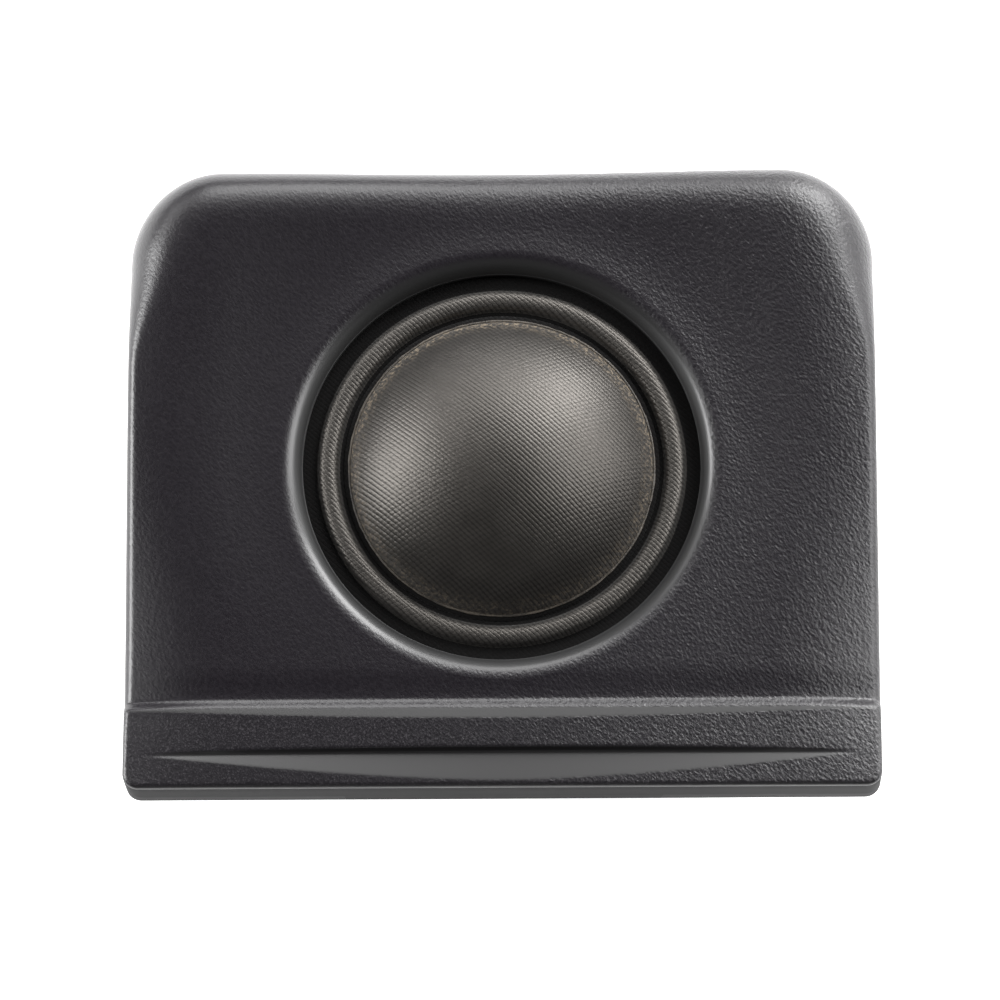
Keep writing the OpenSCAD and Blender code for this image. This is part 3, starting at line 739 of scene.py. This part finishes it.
def faceplate_plastic(name, specular, extra_roughness):
    """Black moulded plastic, grained like leather down to the right with painted shade in its hollows,
    lighter where smooth as painted light, with painted glints on its ledge and painted shade inside its
    lip, which is also dull.
    """
    look = Look(name, roughness=0.34 + extra_roughness, specular=specular)
    mask = look.attribute("grain")
    flow = look.place()
    x, y, _ = look.split(flow)
    r = look.radius(x, y)
    # Painted shade: the inside of the lip is coloured near black, and made rougher.
    inner_lip_painted_shade = look.span(r, 16.7, 17.05, 1.0, 0.0)
    bend = look.noise(flow, 0.35, 2)
    long_cells = look.place((2.6, 3.9, 3.0), 52)
    wobble = look.node("ShaderNodeVectorMath", operation="ADD")
    look.put(long_cells, wobble.inputs[0])
    look.put(look.times(bend, 1.2), wobble.inputs[1])
    pebbles = look.cells(wobble.outputs[0], 1.0, 0.5)
    creases = look.noise(wobble.outputs[0], 1.9, 3, 0.65)
    specks = look.noise(flow, 3.6, 2, 0.6)
    height = look.plus(look.times(pebbles, 0.7), look.times(creases, 0.8))
    height = look.plus(height, look.times(specks, 0.5))
    deeper_right = look.span(x, -20, 22, 0.45, 1.25)
    deeper_ledge = look.span(y, -20, -21.5, 1.0, 1.5)
    depth = look.times(mask, deeper_right, deeper_ledge)
    look.bump(look.times(look.math("SUBTRACT", height, 0.93), depth), 0.036)
    # Painted shade: the grain's colour is darker in its hollows and lighter on its peaks.
    tone = look.span(height, 0.75, 1.3)
    grained = look.color_mix(tone, (0.0045, 0.0034, 0.0052), (0.0082, 0.0068, 0.009))
    ledge = look.span(y, -20, -21.5)
    # Painted glints: on the ledge, the grain's peaks get lighter specks.
    fine = look.span(look.noise(flow, 7.5, 2, 0.6), 0.45, 0.75)
    wear_and_glints = look.times(fine, look.span(height, 0.5, 1.2))
    ledge_painted_glints = look.color_mix(wear_and_glints, (0.0075, 0.0066, 0.0082), (0.04, 0.037, 0.041))
    # Painted light: where the face is smooth (grain mask low), on the lenses and scoop, the plain colour is
    # lighter than the grained one.
    toned = look.color_mix(mask, (0.018, 0.0176, 0.018), look.color_mix(ledge, grained, ledge_painted_glints))
    look.color(look.color_mix(inner_lip_painted_shade, toned, (0.004, 0.004, 0.0042)))
    rough = look.plus(look.times(mask, 0.03), 0.28 + extra_roughness)
    look.rough(look.plus(rough, look.times(inner_lip_painted_shade, 0.3)))
    return look.material


def cloth(name, color, roughness, specular=0.5):
    """Coated woven cloth: thick threads crossed by finer ones with painted shade in the gaps between them,
    specks near the dome's edge with painted light on the top, and painted shade in the valley by the dome
    and on the outer flange.
    """
    look = Look(name, roughness=roughness, specular=specular, sheen=0.05)
    look.shader.inputs["Specular Tint"].default_value = (1.0, 0.93, 0.85, 1)
    flow = look.place()
    waver = look.times(look.noise(flow, 0.8, 3), 0.9)
    _, v, _ = look.split(look.place(turn=42))
    u, _, _ = look.split(look.place(turn=68))

    def threads(along, pitch):
        wave = look.math("SINE", look.plus(look.times(along, math.pi / pitch), waver))
        return look.math("POWER", look.math("ABSOLUTE", wave), 0.7)

    weave = look.plus(look.times(threads(v, 0.312), 0.7), look.times(threads(u, 0.37), 0.3))
    fuzz = look.noise(flow, 7, 3, 0.7)
    look.bump(look.plus(weave, look.times(fuzz, 0.75)), 0.032)
    patches = look.noise(flow, 0.5, 4, 0.6)
    shade = look.color_mix(look.span(patches, 0.35, 0.65), color, scaled(color, 1.35))
    # Painted shade: the gaps between the threads are coloured darker.
    weave_painted_shade = look.color_mix(look.span(weave, 0.35, 0.9), scaled(color, 0.3), shade)
    x, y, _ = look.split(flow)
    r = look.radius(x, y)
    # Painted shade: near-black colour in the valley at the dome's edge and on the outer flange.
    valley_painted_shade = look.math("SUBTRACT", look.span(r, 12.4, 12.5), look.span(r, 13.15, 13.3))
    dark = look.math("MAXIMUM", valley_painted_shade, look.span(r, 14.95, 15.1))
    near = look.times(look.span(r, 11.0, 12.3), look.span(r, 12.7, 13.0, 1.0, 0.0))
    specks = look.span(look.noise(flow, 3.4, 4, 0.75), 0.5, 0.6)
    # Painted light: the specks are strongest on the top and fade towards the bottom.
    painted_light_on_top = look.span(y, -10, 8, 0.35, 1.0)
    speckled = look.color_mix(look.times(near, specks, painted_light_on_top), weave_painted_shade, (0.15, 0.12, 0.085))
    look.color(look.color_mix(dark, speckled, (0.003, 0.003, 0.0032)))
    wear_and_glints = look.times(look.span(r, 11.5, 12.3), look.span(r, 12.6, 13.2, 1.0, 0.0))
    dull = look.math("MAXIMUM", look.times(dark, 0.4), look.times(wear_and_glints, 0.3))
    look.rough(look.plus(dull, roughness))
    return look.material


def plain(name, color, roughness, grain, bump_mm=0.01, noise_scale=4.0, coat=0.0):
    """A surface with fine noise in its colour, roughness and height."""
    look = Look(name, roughness=roughness, coat=coat)
    fine = look.noise(look.place(), noise_scale, 4, 0.6)
    broad = look.noise(look.place(), 0.25, 3, 0.5)
    tone = look.span(look.plus(fine, broad), 0.7, 1.3)
    look.color(look.color_mix(tone, scaled(color, 1 - grain), scaled(color, 1 + grain)))
    look.rough(look.span(fine, 0.3, 0.7, max(0.05, roughness - 0.08), roughness + 0.08))
    look.bump(fine, bump_mm)
    return look.material


# ---- dome, surround and glue ----

def dome():
    """The cloth cap, with a small glue flange at its edge and a faint hand-laid waviness."""
    sphere_r = (dome_r ** 2 + dome_h ** 2) / (2 * dome_h)
    centre_z = dome_edge_z + dome_h - sphere_r
    edge_r = dome_r - 0.4

    def arc(radius, angles):
        return [(max(0, radius * math.sin(a)), centre_z + radius * math.cos(a)) for a in angles]

    profile = arc(sphere_r, np.linspace(0, math.asin(edge_r / sphere_r), 56))
    r0, z0 = profile[-1]
    profile += [
        (r0 + 0.1, z0 - 0.16), (12.32, dome_edge_z + 0.07), (12.42, dome_edge_z + 0.03),
        (12.85, dome_edge_z), (12.85, dome_edge_z - 0.12), (12.3, dome_edge_z - 0.15),
    ]
    inner = sphere_r - 0.3
    profile += arc(inner, np.linspace(math.asin(edge_r / inner), 0, 30))
    points, faces = lathe(profile, 256)
    p = np.array(points)
    x, y = p[:, 0], p[:, 1]
    r = np.hypot(x, y)
    lobes = 0.02 * np.sin(3 * np.arctan2(y, x) + 0.4) * (r / dome_r) ** 2 * clamp01((dome_r - r) / 2)
    ripple = 0.012 * np.sin(0.9 * x + 0.6 * y)
    p[:, 2] += (lobes + ripple) * clamp01((dome_r - r) / 1.5)
    return add_object("dome_cloth_cap", p, faces)


def surround_profile():
    """The surround's section: inner flange, half-round roll and outer flange, then the underside."""
    mid, roll, t = 14.12, 0.85, 0.25
    top = [(12.8, cloth_z), (mid - roll - 0.22, cloth_z)]
    top += [(mid - roll - 0.08, cloth_z + 0.03), (mid - roll, cloth_z + 0.14)]
    tilt = np.linspace(math.radians(170), math.radians(10), 22)
    base = cloth_z + 0.03
    for a in tilt[1:-1]:
        across = math.copysign(abs(math.cos(a)) ** 0.9, math.cos(a))
        top.append((mid + roll * across, base + 0.76 * math.sin(a) ** 0.92))
    top += [(mid + roll, cloth_z + 0.14), (mid + roll + 0.08, cloth_z + 0.03), (mid + roll + 0.22, cloth_z)]
    top += [(15.8, cloth_z), (16.4, cloth_z), (18, cloth_z)]
    under_z = cloth_z - t
    under = [(18, under_z), (mid + roll, under_z)]
    for a in np.linspace(0, math.pi, 16):
        under.append((mid + (roll - t) * math.cos(a), under_z + (roll - 0.1) * math.sin(a)))
    under.append((12.8, under_z))
    return top + under


def surround():
    points, faces = lathe(surround_profile(), 320)
    return add_object("cloth_surround", points, faces)


def glue_bead():
    """A lumpy ring of adhesive at the dome's edge."""
    steps, sides = 360, 12
    bead_r, bead_z = 12.42, dome_edge_z + 0.06
    angles = 2 * np.pi * np.arange(steps) / steps
    rng = np.random.default_rng(7)
    bumps = 0
    for k in range(5, 90):
        bumps = bumps + rng.normal(0, 1) * np.sin(k * angles + rng.uniform(0, 6.28)) / (1 + k / 40)
    bumps = bumps / np.abs(bumps).max()
    points, faces = [], []
    for k, a in enumerate(angles):
        size = 0.075 + 0.03 * bumps[k]
        for s in range(sides):
            t = 2 * np.pi * s / sides
            r = bead_r + 1.35 * size * math.cos(t)
            z = bead_z + size * 0.8 * math.sin(t)
            points.append((r * math.cos(a), r * math.sin(a), z))
    for k in range(steps):
        m = (k + 1) % steps
        for s in range(sides):
            q = (s + 1) % sides
            faces.append((k * sides + s, m * sides + s, m * sides + q, k * sides + q))
    return add_object("glue_bead", points, faces)


def split_by_radius(piece, inner_r, outer_r):
    """Gives the faces outside a band of radius the piece's second material, a darker copy that is painted
    shade.
    """
    for face in piece.data.polygons:
        r = math.hypot(face.center.x, face.center.y) / MM
        face.material_index = int(not inner_r < r < outer_r)


def radial_blend(piece):
    """Bakes the piece's placement into its mesh, so it stays where it is."""
    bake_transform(piece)


# ---- coil and leads ----

def scalloped_winding():
    """The coil's two layers of wire, as a ring with a rounded bulge for each turn."""
    low, high = (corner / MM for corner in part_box("voice_coil_winding"))
    outer, turns = high.x, 20
    wire_d = (high.z - low.z) / turns
    profile = [(12.66, low.z)]
    for k in range(turns):
        for t in np.linspace(0, math.pi, 6)[1:-1]:
            z = low.z + wire_d * (k + 0.5 - 0.5 * math.cos(t))
            profile.append((outer - wire_d / 2 + wire_d / 2 * math.sin(t), z))
    profile.append((12.66, high.z))
    points, faces = lathe(profile, 160)
    return add_object("coil_winding", points, faces)


def smooth_path(knots, steps):
    """A smooth line through given points."""
    p = np.array([knots[0], *knots, knots[-1]], float)
    path = []
    for a, b, c, d in zip(p[:-3], p[1:-2], p[2:-1], p[3:]):
        for t in np.arange(steps) / steps:
            path.append(0.5 * (2 * b + (c - a) * t + (2 * a - 5 * b + 4 * c - d) * t ** 2
                               + (3 * b - a - 3 * c + d) * t ** 3))
    return np.array([*path, knots[-1]])


def tinsel_lead(name, side):
    """A lead of three thin strands twisted round each other, from a rivet to the top of the coil."""
    rivet_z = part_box("pole_plate")[1].z / MM + 0.4
    y = side * 3
    path = smooth_path([
        (19.2, y, rivet_z), (19.2, y, rivet_z + 0.15), (18.7, y, rivet_z + 0.35), (17, y, rivet_z + 0.3),
        (15.2, y, rivet_z + 0.5), (13.7, y, rivet_z + 0.25), (12.6, y, rivet_z + 0.4),
    ], 14)
    along = np.gradient(path, axis=0)
    along /= np.linalg.norm(along, axis=1)[:, None]
    across = np.cross(along, (0, 1, 0.001))
    across /= np.linalg.norm(across, axis=1)[:, None]
    up = np.cross(across, along)
    length = np.concatenate([[0], np.cumsum(np.linalg.norm(np.diff(path, axis=0), axis=1))])
    strand_r, twist_r, lay, sides = 0.1, 0.1, 1.6, 8
    points, faces = [], []
    for strand in range(3):
        turn = 2 * np.pi * (length / lay + strand / 3)
        centre = path + twist_r * (np.cos(turn)[:, None] * across + np.sin(turn)[:, None] * up)
        first = len(points)
        for c, s_way, u_way in zip(centre, across, up):
            for k in range(sides):
                t = 2 * np.pi * k / sides
                points.append(c + strand_r * (math.cos(t) * s_way + math.sin(t) * u_way))
        for i in range(len(path) - 1):
            faces += ring_faces(first + i * sides, first + (i + 1) * sides, sides)
        faces.append(tuple(first + k for k in range(sides))[::-1])
        faces.append(tuple(first + (len(path) - 1) * sides + k for k in range(sides)))
    return add_object(name, points, faces)


# ---- CAD nodes that keep their shape ----

def dress(node, material, bevel_mm):
    """Gives a CAD node its material, and rounds its edges with modifiers."""
    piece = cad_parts[node]
    piece.data.materials.clear()
    piece.data.materials.append(material)
    weld = piece.modifiers.new("weld", "WELD")
    weld.merge_threshold = 0.000002
    if bevel_mm:
        bevel = piece.modifiers.new("bevel", "BEVEL")
        bevel.width = bevel_mm * MM
        bevel.segments = 2
        bevel.limit_method = "ANGLE"
        bevel.angle_limit = math.radians(35)
        bevel.harden_normals = True
    piece.data.shade_smooth()
    normals = piece.modifiers.new("normals", "WEIGHTED_NORMAL")
    normals.keep_sharp = True


def metal(name, color, roughness, brushed=0.0):
    """Plated metal with fine scratches and a cloudy finish."""
    look = Look(name, roughness=roughness, metallic=1.0)
    scratch = look.noise(look.place((0.6, 14, 0.6), 20), 1.2, 3, 0.6)
    cloud = look.noise(look.place(), 0.4, 4, 0.55)
    look.color(look.color_mix(look.span(cloud, 0.3, 0.7), scaled(color, 0.82), color))
    look.rough(look.span(look.plus(scratch, cloud), 0.7, 1.3, roughness - 0.08, roughness + 0.12))
    look.bump(scratch, 0.004 + 0.01 * brushed)
    return look.material


def moulded(name, color, roughness, grain_mm=0.012):
    """Moulded plastic with a spark-eroded finish and faint flow marks."""
    look = Look(name, roughness=roughness)
    spark = look.noise(look.place(), 5.5, 3, 0.7)
    broad = look.noise(look.place((0.12, 0.3, 0.2), 25), 1.0, 3, 0.5, 1.5)
    look.color(look.color_mix(look.span(broad, 0.35, 0.65), scaled(color, 0.92), scaled(color, 1.08)))
    look.rough(look.span(spark, 0.3, 0.7, roughness - 0.05, roughness + 0.05))
    look.bump(spark, grain_mm)
    return look.material


def foam_look():
    """Open-cell foam: small pits between walls, darkened as painted shade."""
    look = Look("foam", roughness=0.9, specular=0.2)
    pits = look.cells(look.place(), 4.5, 0.3)
    # Painted shade: the pits are coloured darker than the walls.
    look.color(look.color_mix(look.span(pits, 0.1, 0.55), (0.004, 0.004, 0.004), (0.03, 0.03, 0.032)))
    look.bump(pits, 0.12)
    return look.material


def felt_look():
    """Pressed felt: matted fibres."""
    look = Look("felt", roughness=0.95, specular=0.2, sheen=0.4)
    fibres = look.noise(look.place(), 3.0, 6, 0.75, 3.0)
    look.color(look.color_mix(look.span(fibres, 0.35, 0.65), (0.03, 0.028, 0.03), (0.11, 0.105, 0.11)))
    look.bump(fibres, 0.1)
    return look.material


def board_look():
    """Phenolic paper board, with faint fibres along its length."""
    look = Look("phenolic_board", roughness=0.5)
    fibres = look.noise(look.place((3, 0.4, 3)), 3.0, 4, 0.6)
    look.color(look.color_mix(look.span(fibres, 0.3, 0.7), (0.16, 0.075, 0.03), (0.3, 0.16, 0.07)))
    look.bump(fibres, 0.01)
    return look.material


def dress_all():
    steel = metal("zinc_plated_steel", (0.66, 0.67, 0.69), 0.32, 0.3)
    brass = metal("tinned_brass", (0.8, 0.64, 0.33), 0.28)
    plastic = moulded("frame_plastic", (0.028, 0.028, 0.031), 0.5)
    cover = moulded("cover_plastic", (0.024, 0.024, 0.026), 0.52, 0.02)
    red = plain("red_insulation", (0.36, 0.02, 0.016), 0.42, 0.2)
    black = plain("black_insulation", (0.014, 0.014, 0.015), 0.42, 0.2)
    looks = {
        "voice_coil_former": (metal("former_foil", (0.75, 0.72, 0.66), 0.36), 0),
        "front_frame": (plastic, 0.12),
        "foam_gasket": (foam_look(), 0.06),
        "pole_plate": (steel, 0.12),
        "pole_damping_felt": (felt_look(), 0.15),
        "magnet": (metal("nickel_plate", (0.6, 0.59, 0.57), 0.22), 0.2),
        "yoke_cup": (steel, 0.12),
        "rear_cover": (cover, 0.18),
        "retaining_screws": (metal("screw_zinc", (0.5, 0.5, 0.52), 0.3), 0.06),
        "terminal_board": (board_look(), 0.06),
        "terminal_tab_positive": (brass, 0.06),
        "terminal_tab_negative": (brass, 0.06),
        "terminal_rivets": (brass, 0.08),
        "crossover_capacitor": (plain("blue_sleeve", (0.03, 0.075, 0.24), 0.3, 0.12, coat=0.3), 0.08),
        "capacitor_leads": (metal("tinned_wire", (0.72, 0.72, 0.73), 0.3), 0),
        "hookup_wire_input": (red, 0),
        "hookup_wire_positive": (red, 0),
        "hookup_wire_negative": (black, 0),
        "connector_socket": (plain("socket_plastic", (0.02, 0.02, 0.022), 0.33, 0.2), 0.12),
        "connector_pin_positive": (brass, 0.1),
        "connector_pin_negative": (brass, 0.1),
    }
    for node, (material, bevel_mm) in looks.items():
        dress(node, material, bevel_mm)


# ---- put together ----

camera()
studio()
floor()

plate = trim_face()
plate.data.materials.append(faceplate_plastic("faceplate_plastic", 0.5, 0.0))
# Painted shade: the skirt gets a dulled copy of the plastic with little specular and more roughness.
plate.data.materials.append(faceplate_plastic("faceplate_side_painted_shade", 0.05, 0.3))
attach(plate, "housing")
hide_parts("faceplate")

dome_piece = dome()
dome_piece.data.materials.append(cloth("dome_cloth", (0.018, 0.0166, 0.0152), 0.33))
# Painted shade: a near-black copy of the cloth for the dome's edge flange.
dome_piece.data.materials.append(cloth("dome_flange_painted_shade", (0.01, 0.01, 0.01), 0.6, 0.1))
split_by_radius(dome_piece, 0, 12.5)
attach(dome_piece, "diaphragm")
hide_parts("diaphragm_dome")

roll = surround()
roll.data.materials.append(cloth("surround_cloth", (0.022, 0.0205, 0.019), 0.33))
# Painted shade: a near-black copy of the cloth for the surround's inner and outer flanges.
roll.data.materials.append(cloth("surround_flange_painted_shade", (0.01, 0.01, 0.01), 0.6, 0.1))
split_by_radius(roll, 13.22, 15.03)
radial_blend(roll)
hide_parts("surround")

bead = glue_bead()
adhesive = plain("adhesive", (0.04, 0.033, 0.025), 0.5, 0.7, bump_mm=0.05, noise_scale=5)
bead.data.materials.append(adhesive)
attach(bead, "diaphragm")
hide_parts("dome_glue_ring")

copper = metal("enamelled_copper", (0.78, 0.36, 0.16), 0.3)
winding = scalloped_winding()
winding.data.materials.append(copper)
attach(winding, "diaphragm")
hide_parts("voice_coil_winding")
for name, side in (("positive", -1), ("negative", 1)):
    lead = tinsel_lead("tinsel_lead_" + name, side)
    lead.data.materials.append(copper)
    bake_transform(lead)
    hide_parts("lead_wire_" + name)

dress_all()
